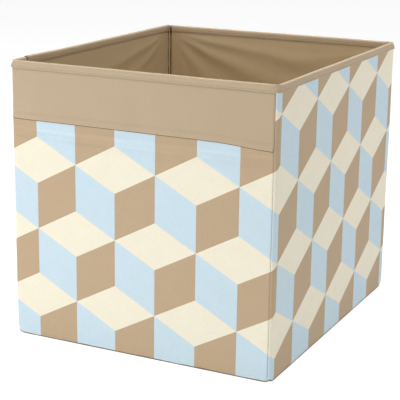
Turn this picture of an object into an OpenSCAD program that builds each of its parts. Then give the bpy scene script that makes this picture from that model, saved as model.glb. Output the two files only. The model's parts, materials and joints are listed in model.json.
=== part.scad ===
// Fabric storage bin: an open-topped, printed cloth box for a cube shelf.
// Millimetres. X runs along the front, Y from the front to the back, Z up.
// The origin is at the middle of the underside. The front faces -Y.
//
// The two side walls are single stiff panels. The front and back walls are each two
// half-width boards with a hidden crease between them, so the bin folds flat like a
// gusset once the hinged base board has been swung up against the left wall.

/* [Bin] */
// Outside width across the front, over the cloth
bin_w = 330; // [260:1:340]
// Outside depth from front to back, over the cloth
bin_d = 380; // [360:1:420]
// Height from the underside to the top of the rim
bin_h = 328; // [300:1:360]
// Outside radius of the upright corners
corner_r = 4; // [3.5:0.1:6]

/* [Wall layers] */
// Thickness of the printed outer cloth
print_t = 0.8; // [0.5:0.05:1]
// Thickness of the board inside each wall
board_t = 2.1; // [1.5:0.1:2.6]
// Size of the clipped lower corners of the wall boards
board_clip = 12; // [4:1:20]
// Thickness of the plain lining
lining_t = 0.6; // [0.4:0.05:0.8]
// Distance from a side's outer face to the fold line on the front and back
seam_in = 8; // [7.6:0.1:10]

/* [Rim binding] */
// How far the binding comes down from the top of the rim
binding_h = 8.2; // [6:0.1:14]
// How far the binding stands out from the printed cloth
binding_proud = 1.2; // [1:0.1:1.6]
// How far the binding stands in from the lining
binding_in = 0.6; // [0.4:0.1:0.8]
// Thickness of the binding over the top edge
binding_top = 0.8; // [0.5:0.1:1.5]

/* [Grip flap] */
// Distance from the top of the rim to the flap's free lower edge
flap_drop = 67; // [50:1:110]
// Thickness of the doubled flap cloth
flap_t = 0.9; // [0.6:0.05:1]
// Distance from a side's outer face to the flap's end
flap_end_in = 4; // [3.5:0.1:7]

/* [Base] */
// Thickness of the base cloth
base_t = 0.8; // [0.5:0.05:1]
// Height of the seam that joins the base cloth to the walls
base_seam_h = 3.4; // [3.3:0.1:6]
// Thickness of the board inside the base insert
insert_core_t = 1.4; // [1:0.1:1.4]
// Thickness of the cloth sleeve around the base insert
sleeve_t = 0.25; // [0.15:0.05:0.25]
// Gap left under the inner binding when the base insert is swung up
insert_rim_gap = 2.1; // [1:0.1:10]
// Gap between the base insert and the front and back walls
insert_gap = 1.5; // [1:0.5:5]
// Height of the hinge cloth leaf on the left wall
leaf_h = 14; // [8:1:25]
// Thickness of the hinge cloth
leaf_t = 0.2; // [0.1:0.05:0.2]

/* [Hidden] */
$fn = 48;

print_colour = [0.86, 0.87, 0.85];
plain_colour = [0.72, 0.65, 0.55];
lining_colour = [0.60, 0.51, 0.39];
board_colour = [0.62, 0.52, 0.40];

half_w = bin_w / 2;
half_d = bin_d / 2;
wall_t = print_t + board_t + lining_t;
side_face = half_w - wall_t;       // inner face of a side wall
end_face = half_d - wall_t;        // inner face of the front or back wall
hinge_x = half_w - seam_in;        // upright fold line at each corner
parting = 0.15;                    // half the gap at every fold line
rim_notch = 1;                     // the inner binding stops this far from a corner fold
wall_gap = 0.3;                    // clearance of the walls over the base seam
wall_z = base_seam_h + wall_gap;   // underside of the folding walls
cloth_top = bin_h - binding_top;   // top of the cloths and boards
binding_z = bin_h - binding_h;     // lower edge of the binding
flap_z = bin_h - flap_drop;        // free lower edge of the grip flap
insert_lift = 0.3;                 // clearance of the base insert over the base cloth
insert_z = base_t + insert_lift;
insert_t = insert_core_t + 2 * sleeve_t;
insert_top = insert_z + insert_t;
leaf_clear = 1;                    // room for the insert's own leaf when it is up
insert_x = -side_face + leaf_t + leaf_clear;   // left edge, where the insert hinges
insert_w = min(2 * side_face - 9, binding_z - insert_top - insert_rim_gap);
insert_d = 2 * (end_face - insert_gap);
eps = 0.01;

// ---- shared plan shapes -------------------------------------------------------

// The bin's outline in plan, grown outwards by g.
module plan_outline(g = 0) {
    r = corner_r + g;
    x = half_w + g - r;
    y = half_d + g - r;
    union() {
        for (sx = [-1, 1], sy = [-1, 1])
            translate([sx * x, sy * y]) circle(r);
        square([2 * x, 2 * (y + r)], center = true);
        square([2 * (x + r), 2 * y], center = true);
    }
}

// The strip of the plan that belongs to the left side wall, corners included.
module left_strip() {
    reach = half_w + 2 * binding_proud;
    translate([-reach, -half_d - 2 * corner_r])
        square([reach - hinge_x - parting, bin_d + 4 * corner_r]);
}

// A wall board seen face on, from low to high along its wall, standing on its lower
// edge. A lower corner that meets a corner of the bin is clipped.
module board_outline(low, high, clip_low, clip_high) {
    a = clip_low ? board_clip : 0;
    b = clip_high ? board_clip : 0;
    polygon([
        [low + a, wall_z], [high - b, wall_z], [high, wall_z + b],
        [high, cloth_top], [low, cloth_top], [low, wall_z + a],
    ]);
}

// A box from one corner to the other.
module block(low, high) {
    translate(low) cube(high - low);
}

// Children built for the left wall, placed for the left (-1) or the right (1).
module on_side(side) {
    if (side < 0) children();
    else mirror([1, 0, 0]) children();
}

// ---- side walls ---------------------------------------------------------------

// The printed cloth goes round both upright corners to the fold lines, where its
// turned-in allowance fills the corner.
module side_print_cloth(side) {
    color(print_colour) on_side(side)
        translate([0, 0, wall_z - (side < 0 ? wall_gap : 0)])
            linear_extrude(cloth_top - wall_z + (side < 0 ? wall_gap : 0))
                difference() {
                    intersection() {
                        plan_outline();
                        left_strip();
                    }
                    translate([-half_w + print_t, -end_face - lining_t])
                        square([seam_in, 2 * (end_face + lining_t)]);
                }
}

module side_board(side) {
    y = end_face + lining_t;
    color(board_colour) on_side(side)
        translate([-half_w + print_t, 0, 0]) rotate([90, 0, 90])
            linear_extrude(board_t) board_outline(-y, y, true, true);
}

// The lining turns through each inner corner to the fold line.
module side_lining(side) {
    y = end_face + lining_t;
    color(lining_colour) on_side(side)
        translate([0, 0, wall_z])
            linear_extrude(cloth_top - wall_z)
                difference() {
                    translate([-side_face - lining_t, -y])
                        square([side_face + lining_t - hinge_x - parting, 2 * y]);
                    translate([-side_face, -end_face])
                        square([seam_in, 2 * end_face]);
                }
}

// The binding folds over the rim. Its inner leg stops short of the corner folds.
module side_rim_binding(side) {
    color(plain_colour) on_side(side) {
        translate([0, 0, binding_z])
            linear_extrude(binding_h)
                difference() {
                    intersection() {
                        plan_outline(binding_proud);
                        left_strip();
                    }
                    intersection() {
                        plan_outline();
                        translate([-half_w, -half_d])
                            square([2 * seam_in, bin_d]);
                    }
                }
        translate([0, 0, cloth_top])
            linear_extrude(binding_top)
                difference() {
                    intersection() {
                        plan_outline(binding_proud);
                        left_strip();
                    }
                    translate([-side_face, -end_face])
                        square([seam_in, 2 * end_face]);
                }
        block([-side_face, -end_face + binding_in, binding_z],
              [-side_face + binding_in, end_face - binding_in, bin_h]);
    }
}

// ---- front and back walls -----------------------------------------------------

// A layer of one half wall. from and to are depths measured inwards from the
// printed face; low and high are heights; trim shortens the corner end.
module half_layer(end, side, from, to, low, high, trim = 0) {
    inner = parting;
    outer = hinge_x - parting - trim;
    near = end * (half_d - from);
    far = end * (half_d - to);
    block([side < 0 ? -outer : inner, min(near, far), low],
          [side < 0 ? -inner : outer, max(near, far), high]);
}

module half_print_cloth(end, side) {
    color(print_colour)
        half_layer(end, side, 0, print_t, wall_z, cloth_top);
}

module half_board(end, side) {
    y = end < 0 ? -half_d + print_t : half_d - print_t - board_t;
    color(board_colour) on_side(side)
        translate([0, y + board_t, 0]) rotate([90, 0, 0])
            linear_extrude(board_t)
                board_outline(-hinge_x + parting, -parting, true, false);
}

module half_lining(end, side) {
    color(lining_colour)
        half_layer(end, side, print_t + board_t, wall_t, wall_z, cloth_top);
}

module half_rim_binding(end, side) {
    color(plain_colour) {
        half_layer(end, side, -binding_proud, 0, binding_z, bin_h);
        half_layer(end, side, 0, wall_t, cloth_top, bin_h);
        half_layer(end, side, wall_t, wall_t + binding_in, binding_z, bin_h, rim_notch);
    }
}

// The flap lies on the printed cloth and is sewn along its top. Its corner end passes
// over the fold line, clear of the side wall's cloth and binding.
module grip_flap(side) {
    color(plain_colour) {
        half_layer(-1, side, -flap_t, 0, flap_z, binding_z);
        on_side(side)
            block([-half_w + flap_end_in, -half_d - flap_t, flap_z],
                  [-hinge_x + 2 * parting, -half_d - parting, binding_z - 2 * parting]);
    }
}

// ---- base ---------------------------------------------------------------------

// The base cloth with its turned-up seam, which the walls are sewn to.
module base_cloth() {
    color(lining_colour) {
        linear_extrude(base_t) plan_outline();
        linear_extrude(base_seam_h)
            difference() {
                plan_outline();
                square([2 * side_face, 2 * end_face], center = true);
            }
    }
}

// The stiff base insert: a board in a cloth sleeve that is open at both ends.
module base_insert_board() {
    color(board_colour)
        block([insert_x + sleeve_t, -insert_d / 2, insert_z + sleeve_t],
              [insert_x + insert_w - sleeve_t, insert_d / 2, insert_top - sleeve_t]);
}

module base_insert_sleeve() {
    color(lining_colour)
        difference() {
            block([insert_x, -insert_d / 2, insert_z],
                  [insert_x + insert_w, insert_d / 2, insert_top]);
            block([insert_x + sleeve_t, -insert_d / 2 - eps, insert_z + sleeve_t],
                  [insert_x + insert_w - sleeve_t, insert_d / 2 + eps, insert_top - sleeve_t]);
        }
}

// The hinge cloth: one leaf on the left wall's foot, one on the insert.
module base_insert_wall_leaf() {
    color(lining_colour)
        block([-side_face, -insert_d / 2, wall_z],
              [-side_face + leaf_t, insert_d / 2, wall_z + leaf_h]);
}

module base_insert_board_leaf() {
    color(lining_colour)
        block([insert_x, -insert_d / 2, insert_top],
              [insert_x + leaf_h, insert_d / 2, insert_top + leaf_t]);
}

// ---- nodes --------------------------------------------------------------------

side_print_cloth(-1);  // left_wall_print_cloth
side_board(-1);  // left_wall_board
side_lining(-1);  // left_wall_lining
side_rim_binding(-1);  // left_wall_rim_binding
base_cloth();
base_insert_wall_leaf();
side_print_cloth(1);  // right_wall_print_cloth
side_board(1);  // right_wall_board
side_lining(1);  // right_wall_lining
side_rim_binding(1);  // right_wall_rim_binding
half_print_cloth(-1, -1);  // front_left_print_cloth
half_board(-1, -1);  // front_left_board
half_lining(-1, -1);  // front_left_lining
half_rim_binding(-1, -1);  // front_left_rim_binding
grip_flap(-1);  // front_left_grip_flap
half_print_cloth(-1, 1);  // front_right_print_cloth
half_board(-1, 1);  // front_right_board
half_lining(-1, 1);  // front_right_lining
half_rim_binding(-1, 1);  // front_right_rim_binding
grip_flap(1);  // front_right_grip_flap
half_print_cloth(1, -1);  // back_left_print_cloth
half_board(1, -1);  // back_left_board
half_lining(1, -1);  // back_left_lining
half_rim_binding(1, -1);  // back_left_rim_binding
half_print_cloth(1, 1);  // back_right_print_cloth
half_board(1, 1);  // back_right_board
half_lining(1, 1);  // back_right_lining
half_rim_binding(1, 1);  // back_right_rim_binding
base_insert_board();
base_insert_sleeve();
base_insert_board_leaf();
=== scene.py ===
import json
import math
from collections import Counter

import bpy
from mathutils import Matrix, Vector, noise


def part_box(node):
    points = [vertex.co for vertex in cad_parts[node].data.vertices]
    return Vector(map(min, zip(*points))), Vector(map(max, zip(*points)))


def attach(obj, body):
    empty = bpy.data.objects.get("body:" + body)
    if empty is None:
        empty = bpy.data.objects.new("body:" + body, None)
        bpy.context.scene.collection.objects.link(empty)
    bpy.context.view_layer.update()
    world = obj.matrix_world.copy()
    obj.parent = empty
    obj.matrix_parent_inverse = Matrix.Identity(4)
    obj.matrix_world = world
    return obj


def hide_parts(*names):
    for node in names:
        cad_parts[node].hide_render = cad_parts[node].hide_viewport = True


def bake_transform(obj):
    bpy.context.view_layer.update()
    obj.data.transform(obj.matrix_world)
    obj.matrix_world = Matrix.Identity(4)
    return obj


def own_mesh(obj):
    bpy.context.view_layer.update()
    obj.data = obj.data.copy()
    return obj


# A printed cloth storage bin with stiff walls. Everything is in metres, +Z up, in the
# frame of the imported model. Cloth is built from flat coordinates: u runs round the bin
# along its sharp-cornered outline, from the middle of the front towards the right, and
# v is the height. Both are kept as UVs, so prints and weaves stay on the cloth when the
# bin folds.

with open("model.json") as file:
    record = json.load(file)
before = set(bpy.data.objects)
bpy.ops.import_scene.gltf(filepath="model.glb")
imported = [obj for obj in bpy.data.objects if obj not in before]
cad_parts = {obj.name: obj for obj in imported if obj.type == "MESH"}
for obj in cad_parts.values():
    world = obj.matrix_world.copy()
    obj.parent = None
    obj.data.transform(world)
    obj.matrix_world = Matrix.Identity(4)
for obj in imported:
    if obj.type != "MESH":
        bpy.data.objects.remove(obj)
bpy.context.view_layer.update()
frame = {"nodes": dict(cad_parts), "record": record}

MM = 0.001

# ---- sizes read from the frame -------------------------------------------

HALF_W = -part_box("left_wall_print_cloth")[0].x
HALF_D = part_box("left_wall_print_cloth")[1].y
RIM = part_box("left_wall_rim_binding")[1].z
BINDING_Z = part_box("left_wall_rim_binding")[0].z
BINDING_OUT = -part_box("left_wall_rim_binding")[0].x - HALF_W
FLAP_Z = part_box("front_left_grip_flap")[0].z
FLAP_OUT = -HALF_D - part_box("front_left_grip_flap")[0].y
SEAM_X = -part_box("front_left_grip_flap")[0].x   # the upright seams, where the flap ends
HALF_END = -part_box("front_left_print_cloth")[0].x
WALL_T = HALF_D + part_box("front_left_lining")[1].y
WALL_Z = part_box("front_left_print_cloth")[0].z
BASE_SEAM_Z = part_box("base_cloth")[1].z
INSERT_LOW, INSERT_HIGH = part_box("base_insert_sleeve")
LEAF_LOW, LEAF_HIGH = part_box("base_insert_wall_leaf")
BOARD_LEAF_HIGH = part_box("base_insert_board_leaf")[1]
PARTING = 0.15 * MM                     # half the gap between two walls at a fold line
FOLD_U = HALF_END + PARTING             # the fold line beside each upright corner
CORNER_R = 4 * MM                       # upright corners of the printed cloth
PERIMETER = 4 * (HALF_W + HALF_D)
BACK_U = 2 * (HALF_W + HALF_D)          # u at the middle of the back
CORNERS = (-HALF_W, HALF_W, HALF_W + 2 * HALF_D, 3 * HALF_W + 2 * HALF_D,
           PERIMETER - HALF_W)          # u at the upright corners, the first one twice
CORNER_FROM = FOLD_U - 9 * MM           # a corner's cloth starts here on the front or back
CORNER_TO = HALF_W + 14 * MM            # and ends here on the side
UNDER_BINDING = 3 * MM                  # how far the walls' cloths go up behind the binding
PRINT_T, LINING_T, BINDING_T, FLAP_T = 0.55 * MM, 0.5 * MM, 0.5 * MM, 0.7 * MM  # thickness


# ---- camera and stage ----------------------------------------------------

CAMERA_PLACE = (0.6480, -1.3531, 0.5435)
CAMERA_TURN = (-26.163, 15.036, 0.828)  # yaw, pitch and roll in degrees
CAMERA_LENS, CAMERA_SENSOR = 112.18, 36  # in millimetres


def make_camera():
    """The camera stands to the right of the front and looks down a little."""
    yaw, pitch, roll = (math.radians(a) for a in CAMERA_TURN)
    forward = Vector((math.sin(yaw) * math.cos(pitch),
                      math.cos(yaw) * math.cos(pitch), -math.sin(pitch)))
    level = Vector((math.cos(yaw), -math.sin(yaw), 0))
    above = level.cross(forward)
    right = level * math.cos(roll) + above * math.sin(roll)
    up = above * math.cos(roll) - level * math.sin(roll)
    data = bpy.data.cameras.new("camera")
    data.lens = CAMERA_LENS
    data.sensor_width = CAMERA_SENSOR
    camera = bpy.data.objects.new("camera", data)
    turn = Matrix((right, up, -forward)).transposed().to_4x4()
    camera.matrix_world = Matrix.Translation(CAMERA_PLACE) @ turn
    bpy.context.scene.collection.objects.link(camera)
    bpy.context.scene.camera = camera


# Each lamp's place, the point that it is aimed at, its size in metres and its watts.
LAMPS = {
    "left": ((-2.0, 0.2, 1.0), (0, 0, 0.15), 1.2, 8),
    "near_left": ((-0.95, -0.95, 0.40), (-0.1, -0.15, 0.12), 0.6, 3.9),
    "front": ((-0.25, -1.3, 0.08), (0, 0, 0.02), 0.8, 2.55),
    "back_right": ((0.95, 0.75, 0.62), (0.16, 0.15, 0.24), 0.6, 1.6),
    "top": ((-0.1, -0.05, 2.2), (0, 0, 0.2), 1.0, 20),
    "above": ((0, 0, 1.05), (0, 0, 0.2), 0.34, 3.7),
    "front_high": ((-0.5, -1.2, 0.8), (0, 0, 0.3), 0.6, 0.9),
}


def area_light(name, place, aim, size, power):
    """A square lamp that the camera doesn't see."""
    data = bpy.data.lights.new(name, "AREA")
    data.size = size
    data.energy = power
    lamp = bpy.data.objects.new(name, data)
    lamp.location = place
    lamp.visible_camera = False
    lamp.rotation_euler = (Vector(aim) - Vector(place)).to_track_quat("-Z", "Y").to_euler()
    bpy.context.scene.collection.objects.link(lamp)


def make_light():
    """Large soft lights, the strongest from above, in a pale room that is brightest near
    the horizon."""
    world = bpy.data.worlds.new("studio")
    bpy.context.scene.world = world
    world.use_nodes = True
    tree = world.node_tree
    split = tree.nodes.new("ShaderNodeSeparateXYZ")
    tree.links.new(tree.nodes.new("ShaderNodeTexCoord").outputs["Generated"], split.inputs[0])
    height = in_range(tree, split.outputs[2], 1.05, 0.20, 0.0, 0.12)
    tree.links.new(height, tree.nodes["Background"].inputs["Strength"])
    tree.nodes["Background"].inputs["Color"].default_value = (1, 1, 1, 1)
    for name, (place, aim, size, power) in LAMPS.items():
        area_light(name, place, aim, size, power)
    bpy.context.scene.view_settings.view_transform = "Standard"


# ---- node helpers --------------------------------------------------------

def blank_material(name):
    material = bpy.data.materials.new(name)
    material.use_nodes = True
    tree = material.node_tree
    return material, tree, tree.nodes["Principled BSDF"]


def math_node(tree, operation, *values):
    node = tree.nodes.new("ShaderNodeMath")
    node.operation = operation
    for socket, value in zip(node.inputs, values):
        if isinstance(value, (int, float)):
            socket.default_value = value
        else:
            tree.links.new(value, socket)
    return node.outputs[0]


def mix_colour(tree, factor, a, b, blend="MIX"):
    node = tree.nodes.new("ShaderNodeMix")
    node.data_type = "RGBA"
    node.blend_type = blend
    colour_inputs = [s for s in node.inputs if s.type == "RGBA"]
    for socket, value in zip([node.inputs[0], *colour_inputs], (factor, a, b)):
        if isinstance(value, bpy.types.NodeSocket):
            tree.links.new(value, socket)
        elif isinstance(value, (int, float)):
            socket.default_value = value
        else:
            socket.default_value = (*value, 1)
    return [s for s in node.outputs if s.type == "RGBA"][0]


def flat_coordinates(tree):
    """The cloth's own (u, v), in metres, as three sockets: vector, u and v."""
    uv = tree.nodes.new("ShaderNodeUVMap")
    uv.uv_map = "cloth"
    split = tree.nodes.new("ShaderNodeSeparateXYZ")
    tree.links.new(uv.outputs[0], split.inputs[0])
    return uv.outputs[0], split.outputs[0], split.outputs[1]


def noise_node(tree, vector, scale, detail=2.0, stretch=(1, 1, 1)):
    mapping = tree.nodes.new("ShaderNodeMapping")
    mapping.inputs["Scale"].default_value = stretch
    tree.links.new(vector, mapping.inputs["Vector"])
    node = tree.nodes.new("ShaderNodeTexNoise")
    node.inputs["Scale"].default_value = scale
    node.inputs["Detail"].default_value = detail
    tree.links.new(mapping.outputs[0], node.inputs["Vector"])
    return node.outputs["Fac"]


def in_range(tree, value, low, high, start=0.0, end=1.0):
    """A socket that goes from low to high while value goes from start to end."""
    node = tree.nodes.new("ShaderNodeMapRange")
    node.inputs["From Min"].default_value = start
    node.inputs["From Max"].default_value = end
    node.inputs["To Min"].default_value = low
    node.inputs["To Max"].default_value = high
    tree.links.new(value, node.inputs["Value"])
    return node.outputs[0]


def weave_height(tree, vector, u, v, pitch):
    """Crossing threads of a plain weave, uneven along their length."""
    turn = 2 * math.pi / pitch
    across = math_node(tree, "SINE", math_node(tree, "MULTIPLY", u, turn))
    along = math_node(tree, "SINE", math_node(tree, "MULTIPLY", v, turn))
    crossing = math_node(tree, "MULTIPLY", across, along)
    slubs = noise_node(tree, vector, 700, 3, (0.35, 1, 1))
    return math_node(tree, "MULTIPLY_ADD", crossing, 0.35, slubs)


def add_bump(tree, shader, height, strength, distance):
    bump = tree.nodes.new("ShaderNodeBump")
    bump.inputs["Strength"].default_value = strength
    bump.inputs["Distance"].default_value = distance
    tree.links.new(height, bump.inputs["Height"])
    tree.links.new(bump.outputs[0], shader.inputs["Normal"])


def finish_cloth(tree, shader, colour, height, vector, depth, rough):
    """Colour with faint painted shade where the weave is low, a weave bump and an uneven
    roughness.
    """
    # Painted shade: the colour darkens where the weave is low.
    weave_shade = in_range(tree, height, 0.93, 1.05)
    shaded = mix_colour(tree, 1.0, colour, weave_shade, "MULTIPLY")
    tree.links.new(shaded, shader.inputs["Base Color"])
    patches = noise_node(tree, vector, 45, 2)
    tree.links.new(in_range(tree, patches, rough - 0.07, rough + 0.05),
                   shader.inputs["Roughness"])
    add_bump(tree, shader, height, depth, 0.15 * MM)
    shader.inputs["Specular IOR Level"].default_value = 0.25
    shader.inputs["Sheen Weight"].default_value = 0.08
    shader.inputs["Sheen Roughness"].default_value = 0.5


# ---- materials -----------------------------------------------------------

BLOCK_WIDTH = 101.8 * MM                # from one upright edge of the blocks to the next pair
BLOCK_TOP = 27.2 * MM                   # half the height of a block's pale top
BLOCK_EDGE = 54.1 * MM                  # height of a block's upright edge
BLOCK_U, BLOCK_V = 21.3 * MM, 215.5 * MM  # a point where two tops meet
CREAM, BLUE, TAN = (0.900, 0.840, 0.675), (0.600, 0.745, 0.825), (0.530, 0.393, 0.252)
BEIGE = (0.520, 0.405, 0.275)
LINING = (0.560, 0.430, 0.258)


def block_print(tree, u, v):
    """Tumbling blocks: pale tops with a blue left side and a tan right side each."""
    row = 2 * (BLOCK_TOP + BLOCK_EDGE)
    shifted = math_node(tree, "SUBTRACT", u, BLOCK_U)
    part = math_node(tree, "FRACT", math_node(tree, "DIVIDE", shifted, BLOCK_WIDTH))
    centred = math_node(tree, "MULTIPLY_ADD", part, 2.0, -1.0)
    peak = math_node(tree, "SUBTRACT", 1.0, math_node(tree, "ABSOLUTE", centred))
    rise = math_node(tree, "MULTIPLY", peak, BLOCK_TOP)
    down = math_node(tree, "SUBTRACT", rise, math_node(tree, "SUBTRACT", v, BLOCK_V))
    depth = math_node(tree, "FLOORED_MODULO", down, row)
    top_height = math_node(tree, "MULTIPLY", rise, 2.0)
    block_height = math_node(tree, "ADD", top_height, BLOCK_EDGE)
    first = math_node(tree, "LESS_THAN", depth, block_height)
    first_top = math_node(tree, "LESS_THAN", depth, top_height)
    second_depth = math_node(tree, "SUBTRACT", depth, block_height)
    second_height = math_node(tree, "SUBTRACT", 2 * BLOCK_TOP, top_height)
    second_top = math_node(tree, "LESS_THAN", second_depth, second_height)
    not_first = math_node(tree, "SUBTRACT", 1.0, first)
    tops = math_node(tree, "MULTIPLY_ADD", not_first, second_top,
                     math_node(tree, "MULTIPLY", first, first_top))
    left = math_node(tree, "LESS_THAN", part, 0.5)
    differs = math_node(tree, "ABSOLUTE", math_node(tree, "SUBTRACT", first, left))
    sides = mix_colour(tree, differs, BLUE, TAN)
    return mix_colour(tree, tops, sides, CREAM)


def print_material():
    """The printed cloth of the walls' outside."""
    material, tree, shader = blank_material("printed_cloth")
    vector, u, v = flat_coordinates(tree)
    height = weave_height(tree, vector, u, v, 0.9 * MM)
    ink = in_range(tree, noise_node(tree, vector, 60, 3), 0.965, 1.02)
    colour = mix_colour(tree, 1.0, block_print(tree, u, v), ink, "MULTIPLY")
    finish_cloth(tree, shader, colour, height, vector, 0.35, 0.82)
    return material


def plain_material(name, colour, pitch, mottle, depth, rough):
    """Undyed-looking plain cloth with soft mottling."""
    material, tree, shader = blank_material(name)
    vector, u, v = flat_coordinates(tree)
    height = weave_height(tree, vector, u, v, pitch)
    patches = in_range(tree, noise_node(tree, vector, 30, 4), 1 - mottle, 1 + mottle)
    shaded = mix_colour(tree, 1.0, colour, patches, "MULTIPLY")
    finish_cloth(tree, shader, shaded, height, vector, depth, rough)
    return material


def thread_material(name, dark, light):
    """Twisted thread, between two shades."""
    material, tree, shader = blank_material(name)
    place = tree.nodes.new("ShaderNodeTexCoord").outputs["Object"]
    twist = noise_node(tree, place, 2500, 2)
    colour = mix_colour(tree, twist, dark, light)
    tree.links.new(colour, shader.inputs["Base Color"])
    tree.links.new(in_range(tree, twist, 0.45, 0.7), shader.inputs["Roughness"])
    return material


def board_material():
    """Pressed board, grey-brown with darker fibres."""
    material, tree, shader = blank_material("pressed_board")
    place = tree.nodes.new("ShaderNodeTexCoord").outputs["Object"]
    fibres = noise_node(tree, place, 900, 5, (1, 1, 0.3))
    colour = mix_colour(tree, fibres, (0.25, 0.18, 0.11), (0.50, 0.40, 0.27))
    tree.links.new(colour, shader.inputs["Base Color"])
    tree.links.new(in_range(tree, fibres, 0.75, 0.95), shader.inputs["Roughness"])
    add_bump(tree, shader, fibres, 0.3, 0.2 * MM)
    return material


def floor_material():
    """A matt floor that is as pale as the background."""
    material, tree, shader = blank_material("pale_floor")
    place = tree.nodes.new("ShaderNodeTexCoord").outputs["Object"]
    tone = in_range(tree, noise_node(tree, place, 3, 2), 0.40, 0.42)
    colour = mix_colour(tree, 1.0, (1, 1, 1), tone, "MULTIPLY")
    tree.links.new(colour, shader.inputs["Base Color"])
    shader.inputs["Roughness"].default_value = 0.9
    shader.inputs["Specular IOR Level"].default_value = 0.1
    shader.inputs["Emission Color"].default_value = (1, 1, 1, 1)
    shader.inputs["Emission Strength"].default_value = 0.85
    return material


def make_cloths():
    """The materials of every cloth and thread, by their use."""
    return {
        "print": print_material(),
        "plain": plain_material("plain_cloth", BEIGE, 0.8 * MM, 0.03, 0.4, 0.84),
        "lining": plain_material("lining_cloth", LINING, 0.7 * MM, 0.05, 0.35, 0.88),
        "thread": thread_material("sewing_thread", (0.34, 0.26, 0.17), (0.50, 0.39, 0.27)),
        "flap_thread": thread_material("flap_thread", (0.44, 0.34, 0.23), (0.55, 0.43, 0.30)),
        # Dark colours for thin strips that stand in for shade: painted shadow below the flap's
        # hem and at the base's edge, and painted shade in the corner grooves and the tape's join.
        "shaded": plain_material("painted_shade_strip", (0.20, 0.145, 0.090), 0.8 * MM, 0.05, 0.3, 0.9),
        "gap": plain_material("painted_gap_shade", (0.105, 0.060, 0.018), 0.8 * MM, 0.05, 0.3, 0.9),
        # Real seam thread, darkened so that its row also stands in for the seam groove's shade:
        # partly painted shade.
        "seam_thread_and_shade": thread_material("seam_thread_and_shade", (0.28, 0.24, 0.18), (0.40, 0.35, 0.28)),
    }


# ---- mesh helpers --------------------------------------------------------

def make_piece(name, verts, faces, material):
    """A smooth-shaded object of one material."""
    mesh = bpy.data.meshes.new(name)
    mesh.from_pydata(verts, [], faces)
    mesh.materials.append(material)
    mesh.polygons.foreach_set("use_smooth", [True] * len(mesh.polygons))
    piece = bpy.data.objects.new(name, mesh)
    bpy.context.scene.collection.objects.link(piece)
    return piece


def cloth_grid(name, us, vs, place, material, thickness, inward=False, loop=False,
               uv=lambda u, v: (u, v)):
    """A sheet of cloth: place(u, v) gives each point of its outer face, and the cloth's
    thickness lies behind that face. inward cloth faces the inside of the bin. A loop
    joins its last column to its first. uv(u, v) gives the flat coordinates."""
    columns, rows = len(us), len(vs)
    verts = [place(u, v) for v in vs for u in us]
    flat = [uv(u, v) for v in vs for u in us]
    faces, corners = [], []
    for r in range(rows - 1):
        for c in range(columns if loop else columns - 1):
            d = (c + 1) % columns
            quad = [r * columns + c, r * columns + d,
                    (r + 1) * columns + d, (r + 1) * columns + c]
            flats = [flat[i] for i in quad]
            if d == 0:
                wrap = us[-1] + (us[-1] - us[-2])
                flats[1] = (wrap, flats[1][1])
                flats[2] = (wrap, flats[2][1])
            if inward:
                quad.reverse()
                flats.reverse()
            faces.append(quad)
            corners.extend(flats)
    piece = make_piece(name, verts, faces, material)
    mesh = piece.data
    layer = mesh.uv_layers.new(name="cloth")
    for item, where in zip(layer.data, corners):
        item.uv = where
    uses = Counter(key for face in mesh.polygons for key in face.edge_keys)
    for edge in mesh.edges:
        edge.use_edge_sharp = uses[edge.key] == 1
    solid = piece.modifiers.new("thickness", "SOLIDIFY")
    solid.thickness = thickness
    solid.offset = -1
    return piece


def steps(low, high, step, fine_at=(), fine=1 * MM, reach=6 * MM):
    """Values from low to high about a step apart, closer together near fine_at."""
    count = max(2, round((high - low) / step))
    values = {low + (high - low) * i / count for i in range(count + 1)}
    for centre in fine_at:
        a, b = max(low, centre - reach), min(high, centre + reach)
        if b > a:
            values = {x for x in values if not a - 0.3 * step < x < b + 0.3 * step
                      or x in (low, high)}
            n = max(2, round((b - a) / fine))
            values |= {a + (b - a) * i / n for i in range(n + 1)}
    ordered = sorted(values)
    return [x for i, x in enumerate(ordered) if i == 0 or x - ordered[i - 1] > 1e-6]


def smooth(t):
    """Runs from 0 to 1 with no kink at either end."""
    t = min(1.0, max(0.0, t))
    return t * t * (3 - 2 * t)


def hump(x, centre, width):
    """A round bump of height 1."""
    return math.exp(-((x - centre) / width) ** 2)


# For each wall: u at its first corner, that corner, the way along it and the way out.
WALLS = (
    (CORNERS[0], Vector((-HALF_W, -HALF_D)), Vector((1, 0)), Vector((0, -1))),
    (CORNERS[1], Vector((HALF_W, -HALF_D)), Vector((0, 1)), Vector((1, 0))),
    (CORNERS[2], Vector((HALF_W, HALF_D)), Vector((-1, 0)), Vector((0, 1))),
    (CORNERS[3], Vector((-HALF_W, HALF_D)), Vector((0, -1)), Vector((-1, 0))),
)


def around(u, out):
    """The plan point at u round the bin, moved out from the printed face by out, and
    the outward direction there."""
    u = (u + HALF_W) % PERIMETER - HALF_W
    index = max(i for i, wall in enumerate(WALLS) if u >= wall[0] - 1e-9)
    start, corner, along, normal = WALLS[index]
    after = WALLS[(index + 1) % 4]
    length = (after[0] - start) % PERIMETER
    t = u - start
    if CORNER_R <= t <= length - CORNER_R:
        return corner + along * t + normal * out, normal
    if t < CORNER_R:
        before = WALLS[index - 1]
        pivot = corner + (along - before[2]) * CORNER_R
        turn = math.radians(45) * (1 + t / CORNER_R)
        outward = before[3] * math.cos(turn) + normal * math.sin(turn)
    else:
        pivot = after[1] + (after[2] - along) * CORNER_R
        turn = math.radians(45) * (1 - (length - t) / CORNER_R)
        outward = normal * math.cos(turn) + after[3] * math.sin(turn)
    return pivot + outward * (CORNER_R + out), outward


def ring(u):
    """u brought into one turn that starts and ends at the back left seam."""
    seam = BACK_U - SEAM_X
    return (u + seam) % PERIMETER - seam


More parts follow.
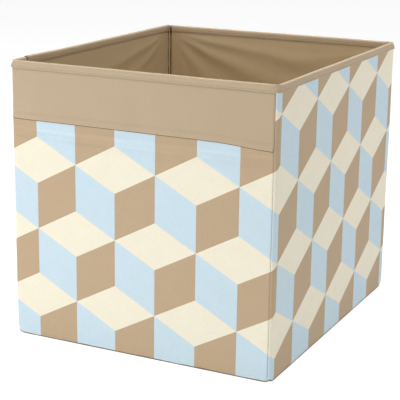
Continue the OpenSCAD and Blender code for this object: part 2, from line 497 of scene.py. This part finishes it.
def corner_distance(u):
    """How far u is from the nearest upright corner."""
    u = (u + HALF_W) % PERIMETER - HALF_W
    return min(abs(u - c) for c in CORNERS)


def from_middle(u):
    """How far u is from the middle of the front or the back, or None on a side."""
    for middle in (0, BACK_U, -BACK_U):
        if abs(u - middle) <= HALF_W:
            return abs(u - middle)
    return None


# At its corners the bin's lower edge is lifted, and drawn in: how far, and within what
# distance of the corner. The lift fades out at LIFT_FADE above the floor.
LIFT, LIFT_REACH, LIFT_FADE = 1.8 * MM, 9 * MM, 30 * MM
TUCK, TUCK_REACH = 1.1 * MM, 12 * MM


def corner_lift(u):
    """The lower edge curves up to each corner of the bin."""
    return LIFT * smooth(1 - corner_distance(u) / LIFT_REACH)


def raised(u, z):
    """Height after the corner's lift, which fades out up the wall."""
    return z + corner_lift(u) * (1 - smooth(z / LIFT_FADE))


def tuck(u, z):
    """How far the bottom corners are drawn in."""
    near = max(0.0, 1 - corner_distance(u) / TUCK_REACH)
    return TUCK * near * max(0.0, 1 - z / TUCK_REACH)


def rough(u, v, size, seed):
    """Smooth noise from -1 to 1 whose humps are about size across."""
    return noise.noise(Vector((u / size, v / size, seed)))


# ---- stretches of wall cloth ---------------------------------------------

# Each layer of the walls is made in the same stretches: the name, where u starts and
# ends, and the bend or body that it belongs to; only a body is followed. The back right
# corner is where the ring of walls is open, so its cloth ends at the fold line.
BACK_SIDE = BACK_U - CORNER_TO          # where the right side ends
STRETCHES = (
    ("front", -CORNER_FROM, CORNER_FROM, "front_crease"),
    ("front_right_corner", CORNER_FROM, CORNER_TO, "front_right"),
    ("right", CORNER_TO, BACK_SIDE, "right_wall"),
    ("back_right_corner", BACK_SIDE, BACK_U - FOLD_U - PARTING, "right_wall"),
    ("back", BACK_U - FOLD_U + PARTING, BACK_U + CORNER_FROM, "back_crease"),
    ("back_left_corner", CORNER_FROM - BACK_U, -BACK_SIDE, "back_left"),
    ("left", -BACK_SIDE, -CORNER_TO, "left_wall"),
    ("front_left_corner", -CORNER_TO, -CORNER_FROM, "front_left"),
)


def is_corner(name):
    return "corner" in name


def corner_u(name, along):
    """u in the named corner stretch, at a distance along from the front's or back's middle."""
    end, hand, _ = name.split("_")
    u = along if end == "front" else BACK_U - along
    return u if hand == "right" else -u


def columns(name, low, high, step, extra=()):
    """u values for a stretch: fine all over a corner, and at a crease elsewhere."""
    if is_corner(name):
        us = set(steps(low, high, 0.6 * MM))
        for seam in (SEAM_X - BACK_U, BACK_U - SEAM_X):
            if low < seam < high:
                us |= {seam - 0.01 * MM, seam + 0.01 * MM}
        return sorted(us)
    middle = 0.5 * (low + high)
    creases = [c for c in (0, BACK_U) if abs(c - middle) < 10 * MM]
    return steps(low, high, step, [*creases, *extra], 0.5 * MM, 4 * MM)


def follow(piece, way):
    """Makes a piece follow its stretch's body; a piece at a crease or corner keeps its place."""
    if way in frame["record"]["behaviour"]["bodies"]:
        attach(piece, way)
        return
    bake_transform(piece)


# ---- printed cloth -------------------------------------------------------

def seam_puckers(along, away, reach, pitch, seed):
    """Short ripples that run off a seam: along it, and away from it."""
    fade = math.exp(-max(0.0, away) / reach)
    wobble = along / pitch + 1.3 * rough(along, 0, 4 * pitch, seed)
    swell = 0.6 + 0.4 * rough(along, 0, 9 * pitch, seed + 5)
    return fade * swell * math.sin(2 * math.pi * wobble)


def under_flap_ripples(u, z):
    """Soft level folds in the print just below the flap, and none behind it."""
    drop = FLAP_Z - z
    if drop < -1 * MM:
        return -0.14 * MM * rough(u, z, 70 * MM, 3.1)
    broad = math.sin(drop / (3.6 * MM) + 1.8 * rough(u, z, 80 * MM, 8.2))
    fine = math.sin(drop / (1.15 * MM) + 2.4 * rough(u, z, 45 * MM, 6.6))
    fade = hump(drop, 12 * MM, 15 * MM) * (0.6 + 0.6 * rough(u, 0, 50 * MM, 2.4))
    return (0.38 * MM * broad + 0.10 * MM * fine) * fade


def side_ripples(u, z):
    """Slack in the print of the other walls, and short ripples below their binding."""
    slack = 0.25 * MM * rough(u * 0.5, z, 55 * MM, 4.4)
    return slack + 0.13 * MM * seam_puckers(u, BINDING_Z - z, 10 * MM, 9 * MM, 6.3)


def print_out(u, z):
    """How far a printed face stands out from its flat place."""
    on_front = smooth((HALF_W - abs(u)) / CORNER_R)
    out = 0.14 * MM * rough(u, z, 70 * MM, 3.1)
    out += 0.10 * MM * seam_puckers(u, z - WALL_Z, 9 * MM, 8 * MM, 1.7)
    out += on_front * under_flap_ripples(u, z) + (1 - on_front) * side_ripples(u, z)
    middle = from_middle(u)
    if middle is not None:
        depth = 0.15 if -HALF_W < u < 0 else 0.8
        out -= depth * MM * hump(middle, SEAM_X, 0.65 * MM)
        out += 0.05 * MM * seam_puckers(z, abs(middle - SEAM_X), 6 * MM, 7 * MM, 4.2)
    return max(out, -0.8 * MM) - tuck(u, z)


def print_panel(name, low, high, material):
    """The printed cloth of one stretch, finer in the rippled band below the flap."""
    us = columns(name, low, high, 4 * MM)
    vs = steps(WALL_Z - 0.15 * MM, BINDING_Z + UNDER_BINDING, 3.2 * MM,
               [FLAP_Z - 16 * MM], 0.9 * MM, 18 * MM)

    def place(u, z):
        u = ring(u)
        point, _ = around(u, print_out(u, z))
        return (*point, raised(u, z))

    return cloth_grid(name, us, vs, place, material, PRINT_T, uv=lambda u, z: (ring(u), z))


# ---- lining --------------------------------------------------------------

def inner_corner(u):
    """The lining's corner seam: a ridge of cloth between two deep grooves, as a distance
    in from the wall."""
    middle = from_middle(u)
    if middle is None:
        return 0.0
    ridge = 1.2 * MM * hump(middle, FOLD_U + 2 * MM, 1.0 * MM)
    grooves = hump(middle, FOLD_U, 0.62 * MM) + hump(middle, SEAM_X - 0.1 * MM, 0.62 * MM)
    return ridge - 2.3 * MM * grooves


def drag(du, dz, fan, reach_end):
    """Folds that fan out of an upper corner, du along the wall and dz down from the rim.
    fan lists each fold's angle and half width in degrees, and its share of the depth."""
    reach = math.hypot(du, dz)
    angle = math.degrees(math.atan2(dz, max(du, 1e-6)))
    grow = smooth((reach - 12 * MM) / (40 * MM))
    grow *= 1 - smooth((reach - reach_end) / (120 * MM))
    total = 0.0
    for i, (centre, width, share) in enumerate(fan):
        bent = centre * (1.12 - reach / (900 * MM)) + 2.5 * rough(reach, i, 60 * MM, 1.1)
        total += share * hump(angle, bent, width)
    return grow * total


# For each wall's loose lining: the fans of folds from its first and from its last upper
# corner, their depths, and the depth of its level ripples.
FEW = ((12, 3.5, 1.0), (27, 5, 0.8), (48, 8, 0.6), (68, 8, 0.5))
DRAGGED = ((9, 3.2, 0.7), (23, 5.5, 1.0), (45, 9, 0.8), (68, 9, 0.5))
LOOSE = {
    "front": (FEW, 0.5 * MM, FEW, 0.6 * MM, 0.3 * MM),
    "right": (FEW, 0.5 * MM, FEW, 0.5 * MM, 0.35 * MM),
    "back": (FEW, 0.4 * MM, DRAGGED, 1.25 * MM, 0.3 * MM),
    "left": (FEW, 0.7 * MM, FEW, 0.4 * MM, 0.4 * MM),
}


def lining_fold(u, z, low, high, loose):
    """How far the lining stands in from its wall."""
    first, first_depth, last, last_depth, level = loose
    from_rim = BINDING_Z - z
    pinned = smooth((u - low) / (12 * MM)) * smooth((high - u) / (12 * MM))
    pinned *= smooth((z - 24 * MM) / (40 * MM)) * smooth(from_rim / (6 * MM))
    folds = first_depth * drag(u - low + 12 * MM, from_rim, first, 130 * MM)
    folds += last_depth * drag(high - u + 12 * MM, from_rim, last, 190 * MM)
    wave = math.sin(from_rim / (7 * MM) + 3 * rough(u, z, 80 * MM, 9.9))
    ripples = level * (0.5 + 0.5 * wave) * (0.5 + 0.5 * rough(u, z * 0.4, 60 * MM, 5.5))
    return pinned * (folds + max(0.0, ripples))


def lining_panel(name, low, high, material):
    """The lining of one stretch."""
    us = columns(name, low, high, 3 * MM)
    vs = steps(WALL_Z + 0.1 * MM, BINDING_Z + UNDER_BINDING, 3 * MM)
    loose = LOOSE.get(name.split("_lining")[0])

    def place(u, z):
        fold = lining_fold(u, z, low, high, loose) if loose else 0.0
        u = ring(u)
        from_rim = BINDING_Z - z
        puckers = 0.10 * MM * seam_puckers(u, from_rim, 8 * MM, 8 * MM, 2.2)
        sewn = 0.08 * MM * hump(from_rim, 0.8 * MM, 1.2 * MM)
        point, _ = around(u, -WALL_T - fold - puckers + sewn - inner_corner(u))
        return (*point, z)

    return cloth_grid(name, us, vs, place, material, LINING_T, inward=True,
                      uv=lambda u, z: (ring(u), z))


# ---- rim binding ---------------------------------------------------------

JOIN_U, JOIN_LAP = -HALF_W - 27 * MM, 12 * MM   # where the tape's two ends overlap
NOTCH_U = JOIN_U - 0.9 * MM             # the gap beside that join
BINDING_STITCH = 1.7 * MM               # the stitches' height above the tape's lower edge


def binding_profile():
    """The tape's section from its outer lower edge, over the rim, to its inner one, as
    pairs of distance out and height."""
    outer, inner = BINDING_OUT, -WALL_T - 0.75 * MM
    shape = [(outer, 0.0, 0.10), (outer, 0.5, 0.14), (outer, 1.1, 0.02), (outer, 1.7, -0.16),
             (outer, 2.4, -0.02), (outer, 4.0, 0.0), (outer, 6.4, 0.0), (outer, 7.1, -0.12),
             (outer, 7.6, -0.38), (outer, 7.95, -0.8), (outer, 8.15, -1.4), (outer, 8.2, -2.1),
             (inner, 8.2, 1.9), (inner, 8.1, 1.2), (inner, 7.8, 0.6), (inner, 7.3, 0.22),
             (inner, 6.6, 0.05), (inner, 4.6, 0.0), (inner, 2.6, 0.05), (inner, 1.7, 0.14),
             (inner, 0.9, 0.15), (inner, 0.3, 0.22), (inner, 0.0, 0.28)]
    scale = (RIM - BINDING_Z) / max(height for _, height, _ in shape)
    return [(edge + shift * MM, BINDING_Z + height * scale) for edge, height, shift in shape]


def tape_point(u, out, z):
    """Where the tape's point at one place on its section stands, at u round the rim."""
    u = ring(u)
    top = smooth((z - BINDING_Z) / (RIM - BINDING_Z))
    face = 1 if out > -WALL_T / 2 else -1
    notch = hump(u, NOTCH_U, 1.1 * MM)
    lap = smooth((u - JOIN_U) / (0.6 * MM)) * smooth((JOIN_U + JOIN_LAP - u) / (0.6 * MM))
    out += face * (0.07 * MM * rough(u, z * face, 5 * MM, 3.3) + 0.3 * MM * lap)
    out -= face * 0.8 * MM * notch
    raised_lap = smooth((JOIN_U - u) / (1.2 * MM)) * hump(u, JOIN_U, 45 * MM)
    z += 0.10 * MM * rough(u, 0, 9 * MM, 1.9) * (1 - top)
    z += (0.25 * MM * rough(u, 0, 60 * MM, 6.1) - 1.3 * MM * notch + 1.1 * MM * raised_lap) * top
    if face > 0:
        pull = smooth((z - BINDING_Z - 1.5 * MM) / (6.5 * MM))
        out -= 2.6 * MM * hump(corner_distance(u), 0, 6 * MM) * pull
    else:
        dent = min(0.0, inner_corner(u))
        out -= 0.7 * dent
        z += 0.5 * dent * top
    return (*around(u, out)[0], z)


def binding_tape(name, low, high, material):
    """The tape along one stretch, in rows that follow its section."""
    profile = binding_profile()
    joins = [JOIN_U] if low < JOIN_U < high else []
    us = columns(name, low, high, 2.5 * MM, joins)

    def place(u, row):
        return tape_point(u, *profile[row])

    across = [0.0]
    for (a, b), (c, d) in zip(profile, profile[1:]):
        across.append(across[-1] + math.hypot(c - a, d - b))
    return cloth_grid(name, us, range(len(profile)), place, material, BINDING_T,
                      uv=lambda u, row: (ring(u), across[row]))


def tape_join_shade(material):
    """The raw end of the tape's under layer in the gap at the join, coloured dark as painted
    shade of the gap.
    """
    profile = [(out, z) for out, z in binding_profile() if z > BINDING_Z + 4 * MM]
    us = [ring(NOTCH_U + 0.3 * i * MM) for i in range(-3, 3)]
    proud = 0.14 * MM

    def place(u, row):
        out, z = profile[row]
        x, y, z = tape_point(u, out + (proud if out > -WALL_T / 2 else -proud), z)
        return (x, y, z + proud * smooth((z - BINDING_Z) / (RIM - BINDING_Z)))

    return cloth_grid("binding_join_shade", us, range(len(profile)), place, material, 0.1 * MM)


def corner_groove_shade(name, u, width, material):
    """A dark strip down one groove beside the lining's corner seam: painted shade of the groove's
    depth.
    """
    us = [u + width * (i / 3 - 0.5) for i in range(4)]
    vs = steps(WALL_Z + 3 * MM, RIM - 1.4 * MM, 6 * MM)

    def place(u, z):
        u = ring(u)
        over = 1.15 * MM * smooth((z - BINDING_Z + 1 * MM) / (1.5 * MM))
        lift = 0.12 * MM + over + 0.12 * MM * rough(z, u, 4 * MM, 7.7)
        return (*around(u, -WALL_T - inner_corner(u) - lift)[0], z)

    return cloth_grid(name, us, vs, place, material, 0.05 * MM, inward=True)


def corner_groove_shades(name, low, high, material):
    """The painted shade strips down both grooves of the lining's corner seam in a corner stretch.
    """
    if not is_corner(name):
        return []
    found = []
    for kind, along, width in (("fold", FOLD_U, 1.9 * MM), ("seam", SEAM_X - 0.1 * MM, 1.4 * MM)):
        u = corner_u(name, along)
        if low < u < high:
            found.append(corner_groove_shade(f"{name}_{kind}_gap", u, width, material))
    return found


# ---- grip flap -----------------------------------------------------------

FLAP_LOW, FLAP_HIGH = -SEAM_X - 2.4 * MM, SEAM_X   # the flap's ends along the front
FLAP_HEM = 7 * MM                       # depth of the flap's hem
FLAP_STITCH = 6 * MM                    # its stitches' distance from the free edge


def flap_out(x, z):
    """How far the flap's face stands out from the print. It is thicker at its hem, bulges
    a little between its sewn top and its free edge, and turns in at its ends."""
    height = (z - FLAP_Z) / (BINDING_Z - FLAP_Z)
    from_end = min(x - FLAP_LOW, FLAP_HIGH - x)
    ends = smooth(from_end / (25 * MM)) * smooth(abs(x) / (20 * MM))
    bulge = 0.75 * MM * ends * (1 - height) * (1 + 0.5 * rough(x, 0, 80 * MM, 2.8))
    hem = 0.28 * MM * (1 - smooth((z - FLAP_Z - FLAP_HEM) / (1.5 * MM)))
    groove = 0.16 * MM * hump(z, FLAP_Z + FLAP_STITCH, 0.6 * MM)
    groove += 0.6 * MM * hump(z, BINDING_Z - 0.4 * MM, 0.6 * MM)
    puckers = 0.05 * MM * seam_puckers(x, abs(z - FLAP_Z - FLAP_STITCH), 5 * MM, 5 * MM, 4.9)
    top = 0.10 * MM * seam_puckers(x, BINDING_Z - z, 7 * MM, 7 * MM, 8.8)
    waves = 0.10 * MM * rough(x * 0.6, z, 40 * MM, 0.7)
    turned = 0.65 * MM * (1 - smooth(from_end / (1.6 * MM)))
    return FLAP_OUT - 0.1 * MM + bulge + hem - groove + puckers + top + waves * ends - turned


def flap_sag(x, z):
    """The free edge isn't quite level: it hangs lower towards its right end."""
    slope = 1.0 * MM - 4.0 * MM * smooth((x - 90 * MM) / (75 * MM))
    wave = 0.3 * MM * rough(x, 0, 70 * MM, 5.9)
    return (slope + wave) * smooth(1 - (z - FLAP_Z) / (35 * MM))


def grip_flap(material):
    """The flap's sheet, finer at its hem, its ends and the front's crease."""
    near_end = [d * MM for d in (0.25, 0.5, 0.8, 1.2, 1.7)]
    us = sorted({*steps(FLAP_LOW, FLAP_HIGH, 3 * MM, [0], 0.5 * MM, 3 * MM),
                 *(FLAP_LOW + d for d in near_end), *(FLAP_HIGH - d for d in near_end)})
    vs = steps(FLAP_Z, BINDING_Z + 2 * MM, 2.4 * MM, [FLAP_Z + 4 * MM], 0.7 * MM, 5 * MM)
    vs = sorted({*vs, *(BINDING_Z + d * MM for d in (-1.3, -0.9, -0.5, -0.1))})

    def place(x, z):
        return (*around(x, flap_out(x, z))[0], z + flap_sag(x, z))

    return cloth_grid("grip_flap", us, vs, place, material, FLAP_T)


def flap_hem_shadow(material):
    """A dark strip just behind and below the flap's free edge, shaped as the hem's turned-up back
    layer: a painted shadow line below the flap.
    """
    us = steps(FLAP_LOW + 0.4 * MM, FLAP_HIGH - 0.4 * MM, 3 * MM, [0], 0.5 * MM, 3 * MM)
    section = ((-0.95, 0.75), (-0.5, 0.60), (0.8, 0.85), (3, 0.85))
    outs = {FLAP_Z + rise * MM: out * MM for rise, out in section}

    def place(x, z):
        return (*around(x, outs[z])[0], z + flap_sag(x, z))

    return cloth_grid("flap_hem_shadow", us, list(outs), place, material, 0.3 * MM)


# ---- stitches ------------------------------------------------------------

STITCH_LENGTH, STITCH_GAP, THREAD_R = 2.5 * MM, 0.9 * MM, 0.24 * MM


def stitch_row(name, length, place, material, gap=STITCH_GAP):
    """Separate stitches along a line. place(s) gives the point at distance s and the
    outward direction there. Each stitch is a short thread that dips in at both ends."""
    pitch = STITCH_LENGTH + gap
    count = max(1, int(length / pitch))
    start = 0.5 * (length - count * pitch + gap)
    verts, faces = [], []
    rings, sides = 5, 6
    for i in range(count):
        first = len(verts)
        for r in range(rings):
            t = r / (rings - 1)
            s = start + i * pitch + t * STITCH_LENGTH
            centre, outward = place(s)
            ahead, _ = place(min(length, s + 0.3 * MM))
            behind, _ = place(max(0.0, s - 0.3 * MM))
            along = (ahead - behind).normalized()
            side = along.cross(outward).normalized()
            arch = math.sin(math.pi * t)
            radius = THREAD_R * (0.45 + 0.55 * math.sqrt(arch))
            centre = centre + outward * (0.75 * arch - 0.55) * THREAD_R
            for k in range(sides):
                turn = 2 * math.pi * k / sides
                verts.append(centre + (side * math.cos(turn) * 1.25
                                       + outward * math.sin(turn)) * radius)
        for r in range(rings - 1):
            for k in range(sides):
                a, b = first + r * sides + k, first + r * sides + (k + 1) % sides
                faces.append((a, b, b + sides, a + sides))
        faces.append(tuple(first + k for k in reversed(range(sides))))
        faces.append(tuple(first + (rings - 1) * sides + k for k in range(sides)))
    return make_piece(name, verts, faces, material)


def level_line(low, z, out, inward=False):
    """A place() for a level row of stitches that starts at u=low."""
    def place(s):
        point, outward = around(low + s, out)
        return Vector((*point, z)), Vector((*outward, 0)) * (-1 if inward else 1)
    return place


def upright_line(u, low, out):
    """A place() for an upright row of stitches at u."""
    point, outward = around(u, out)
    return lambda s: (Vector((*point, low + s)), Vector((*outward, 0)))


# ---- base ----------------------------------------------------------------

BASE_INSET = 2.4 * MM                   # the base sheet's edge, in from the printed face


def hem_columns():
    """u values once round the bin, closer together at its corners."""
    return steps(-HALF_W, PERIMETER - HALF_W, 4 * MM, CORNERS, 0.9 * MM, 9 * MM)[:-1]


def base_hem(material):
    """The printed cloth's lower edge, turned under the bin and sewn to the base."""
    profile = [(-0.15, BASE_SEAM_Z / MM - 0.05), (-0.12, 2.5), (-0.2, 1.9), (-0.5, 1.45),
               (-1.1, 1.15), (-2.0, 0.8), (-3.2, 0.35), (-4.6, 0.06)]
    turned_under = 5                    # the first row that lies flat under the bin

    def place(u, row):
        out, z = (x * MM for x in profile[row])
        wave = 0.35 * MM * rough(u, 0, 45 * MM, 7.4) + 0.15 * MM * rough(u, 0, 11 * MM, 3.9)
        loose = wave - tuck(u, z) if row < turned_under else 0.0
        point, _ = around(u, out + loose - 0.2 * MM)
        return (*point, z + corner_lift(u))

    def flat(u, row):
        out, z = profile[row]
        return (ring(u), (z + 0.4 * out) * MM)

    return cloth_grid("base_hem", hem_columns(), range(len(profile) - 1, -1, -1), place, material,
                      0.05 * MM, loop=True, uv=flat)


def base_edge_shadow(material):
    """The base cloth's edge below the hem, coloured dark as a painted shadow line along the bin's
    foot.
    """
    def place(u, row):
        out = -0.55 * MM - tuck(u, row * MM) - 0.25 * MM * (row == 0)
        return (*around(u, out)[0], (0.15 + 0.6 * row) * MM + corner_lift(u))

    return cloth_grid("base_edge_shadow", hem_columns(), range(4), place, material, 0.05 * MM,
                      loop=True, uv=lambda u, row: (ring(u), 0.6 * MM * row))


def corner_rise(x, y):
    """The base's own lift at its four corners."""
    return LIFT * smooth(1 - max(HALF_W - abs(x), HALF_D - abs(y)) / LIFT_REACH)


def base_sheet(material):
    """The limp cloth under the insert. It is puckered along the hem."""
    x_end, y_end = HALF_W - BASE_INSET, HALF_D - BASE_INSET

    def place(x, y):
        edge = min(x_end - abs(x), y_end - abs(y))
        along = x if y_end - abs(y) < x_end - abs(x) else y
        pucker = 0.12 * MM * seam_puckers(along, edge, 14 * MM, 11 * MM, 5.2)
        slack = 0.10 * MM * rough(x, y, 60 * MM, 8.3)
        return (x, y, 0.62 * MM + pucker + slack + corner_rise(x, y))

    return cloth_grid("base_sheet", steps(-x_end, x_end, 6 * MM), steps(-y_end, y_end, 6 * MM),
                      place, material, 0.3 * MM)


def slab_lines(half):
    """Grid lines across a slab, closer together at its rounded edges."""
    edge = [side * (half - d * MM) for side in (-1, 1) for d in (0, 0.15, 0.45, 0.9, 2.5)]
    return sorted({*steps(-half, half, 5 * MM), *edge})


def insert_sleeve(material):
    """The base insert in its cloth sleeve: a thin slab with soft rounded edges."""
    middle, half = 0.5 * (INSERT_LOW + INSERT_HIGH), 0.5 * (INSERT_HIGH - INSERT_LOW)
    edge = half.z
    xs, ys = slab_lines(half.x), slab_lines(half.y)
    verts, faces, index = [], [], {}
    for side in (1, -1):
        for j, y in enumerate(ys):
            for i, x in enumerate(xs):
                border = i in (0, len(xs) - 1) or j in (0, len(ys) - 1)
                if side < 0 and border:
                    index[side, i, j] = index[1, i, j]
                    continue
                near = max(0.0, 1 - min(half.x - abs(x), half.y - abs(y)) / edge)
                swell = 0.05 * MM * rough(x, y, 50 * MM, 2.0 + side) - 0.06 * MM
                height = 0.0 if border else edge * math.sqrt(1 - near * near) + swell
                index[side, i, j] = len(verts)
                verts.append((middle.x + x, middle.y + y, middle.z + side * height))
        for j in range(len(ys) - 1):
            for i in range(len(xs) - 1):
                quad = [index[side, i, j], index[side, i + 1, j],
                        index[side, i + 1, j + 1], index[side, i, j + 1]]
                faces.append(quad if side > 0 else quad[::-1])
    sleeve = make_piece("insert_sleeve", verts, faces, material)
    layer = sleeve.data.uv_layers.new(name="cloth")
    for loop in sleeve.data.loops:
        layer.data[loop.index].uv = verts[loop.vertex_index][:2]
    return sleeve


HINGE_INSET, HINGE_ACROSS = 2 * MM, 28 * MM   # the hinge cloth's ends, and its flat width


def insert_hinge(material):
    """The hinge cloth: down the left wall's foot and out over the insert's edge."""
    wall_x = LEAF_LOW.x + 0.45 * MM
    top_z = INSERT_HIGH.z + 0.12 * MM
    turn_r = 1.0 * MM
    path = [(wall_x, LEAF_HIGH.z - i * 2 * MM) for i in range(7)]
    path += [(wall_x + turn_r * (1 - math.cos(a)), top_z + turn_r * (1 - math.sin(a)))
             for a in (math.radians(15 * i) for i in range(7))]
    path += [(BOARD_LEAF_HIGH.x - (6 - i) * 2.1 * MM, top_z) for i in range(7)]
    ys = steps(HINGE_INSET - INSERT_HIGH.y, INSERT_HIGH.y - HINGE_INSET, 5 * MM)

    def place(y, row):
        x, z = path[row]
        return (x, y, z + 0.03 * MM * rough(y, row, 12 * MM, 3.7))

    return cloth_grid("insert_hinge_cloth", ys, range(len(path)), place, material,
                      0.2 * MM, inward=True, uv=lambda y, row: (y, 2 * MM * row))


def open_fold_strip(material):
    """The cloth behind the fold line at the back right, where the ring of walls is open."""
    us = steps(BACK_U - FOLD_U - 2 * MM, BACK_U - FOLD_U + 1.5 * MM, 0.5 * MM)
    vs = steps(WALL_Z + 9 * MM, BINDING_Z + 6 * MM, 12 * MM)
    return cloth_grid("back_right_fold", us, vs,
                      lambda u, z: (*around(u, -PRINT_T - 0.05 * MM)[0], z),
                      material, 0.15 * MM)


# ---- assembly ------------------------------------------------------------

def nodes_for(name, layer):
    """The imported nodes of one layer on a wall, or none for a corner."""
    if name in ("left", "right"):
        return [f"{name}_wall_{layer}"]
    if name in ("front", "back"):
        return [f"{name}_left_{layer}", f"{name}_right_{layer}"]
    return []


def make_walls(cloths):
    """Print, lining and binding of every stretch, with the binding's stitches."""
    # The base edge is a dark strip: painted shadow along the foot of the walls.
    hem, edge = base_hem(cloths["print"]), base_edge_shadow(cloths["shaded"])
    row_z = BINDING_Z + BINDING_STITCH
    for name, low, high, way in STRETCHES:
        width = high - low
        outer = print_panel(f"{name}_print", low, high, cloths["print"])
        inner = lining_panel(f"{name}_lining", low, high, cloths["lining"])
        tape = binding_tape(f"{name}_binding", low, high, cloths["plain"])
        rows = [stitch_row(f"{name}_binding_stitches", width,
                           level_line(low, row_z, BINDING_OUT - 0.12 * MM), cloths["thread"])]
        if not is_corner(name):
            rows.append(stitch_row(f"{name}_inner_binding_stitches", width,
                                   level_line(low, row_z, -WALL_T - 0.62 * MM, True),
                                   cloths["thread"]))
        # Dark strips of painted shade in the corner grooves and at the tape's join.
        groove_shades = corner_groove_shades(name, low, high, cloths["gap"])
        if name == "left":
            rows.append(tape_join_shade(cloths["gap"]))
        for piece, layer, slot in ((outer, "print_cloth", "printed_cloth"),
                                   (inner, "lining", "lining_cloth"),
                                   (tape, "rim_binding", "plain_cloth")):
            follow(piece, way)
            if nodes_for(name, layer):
                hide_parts(*nodes_for(name, layer))
        for piece in rows + groove_shades:
            follow(piece, way)
        under = nodes_for(name, "board") or ["base_cloth"]
        [hem, edge] if name == "left" else seam_stitches(name, cloths)
    for piece in (hem, edge):
        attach(piece, "left_wall")
        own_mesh(piece)
    strip = open_fold_strip(cloths["print"])
    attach(strip, "right_wall")


def seam_stitches(name, cloths):
    """The upright seam on a corner stretch, where the walls' cloths are sewn together. The
    front left one is turned in, so it shows no stitches."""
    if not is_corner(name) or name == "front_left_corner":
        return []
    line = upright_line(corner_u(name, SEAM_X), WALL_Z + 2.5 * MM, -0.5 * MM)
    # The thread is dark and its stitches nearly touch, so the row also draws the groove's shade
    # as a painted shade line.
    seam = stitch_row(f"{name}_stitches", BINDING_Z - WALL_Z - 3.5 * MM, line,
                      cloths["seam_thread_and_shade"], gap=0.3 * MM)
    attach(seam, "right_wall" if "right" in name else "left_wall")
    return [seam]


def make_flap(cloths):
    """The grip flap with its stitches and the painted shadow strip below its hem."""
    flap = grip_flap(cloths["plain"])

    def hem_line(s):
        x = FLAP_LOW + 4 * MM + s
        z = FLAP_Z + FLAP_STITCH
        point = (*around(x, flap_out(x, z) + 0.02 * MM)[0], z + flap_sag(x, z))
        return Vector(point), Vector((0, -1, 0))

    hem = stitch_row("flap_hem_stitches", FLAP_HIGH - FLAP_LOW - 7 * MM, hem_line,
                     cloths["flap_thread"])
    # Dark strip as painted shadow below the flap's hem.
    back = flap_hem_shadow(cloths["shaded"])
    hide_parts("front_left_grip_flap", "front_right_grip_flap")
    for piece in (flap, hem, back):
        follow(piece, "front_crease")


def make_base(cloths):
    """The base sheet, the insert in its sleeve, and the cloth that hinges it."""
    sheet = base_sheet(cloths["lining"])
    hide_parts("base_cloth")
    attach(sheet, "left_wall")
    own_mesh(sheet)
    sleeve = insert_sleeve(cloths["lining"])
    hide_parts("base_insert_sleeve")
    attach(sleeve, "base_insert")
    hinge = insert_hinge(cloths["lining"])
    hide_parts("base_insert_wall_leaf", "base_insert_board_leaf")
    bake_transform(hinge)


def make_floor():
    bpy.ops.mesh.primitive_plane_add(size=8, location=(0, 0, 0))
    floor = bpy.context.object
    floor.name = "floor"
    floor.data.materials.append(floor_material())


def dress_boards():
    """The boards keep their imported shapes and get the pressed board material."""
    board = board_material()
    for name, node in frame["nodes"].items():
        if name.endswith("_board"):
            for slot in node.material_slots:
                slot.material = board


make_camera()
make_light()
make_floor()
dress_boards()
cloths = make_cloths()
make_walls(cloths)
make_flap(cloths)
make_base(cloths)
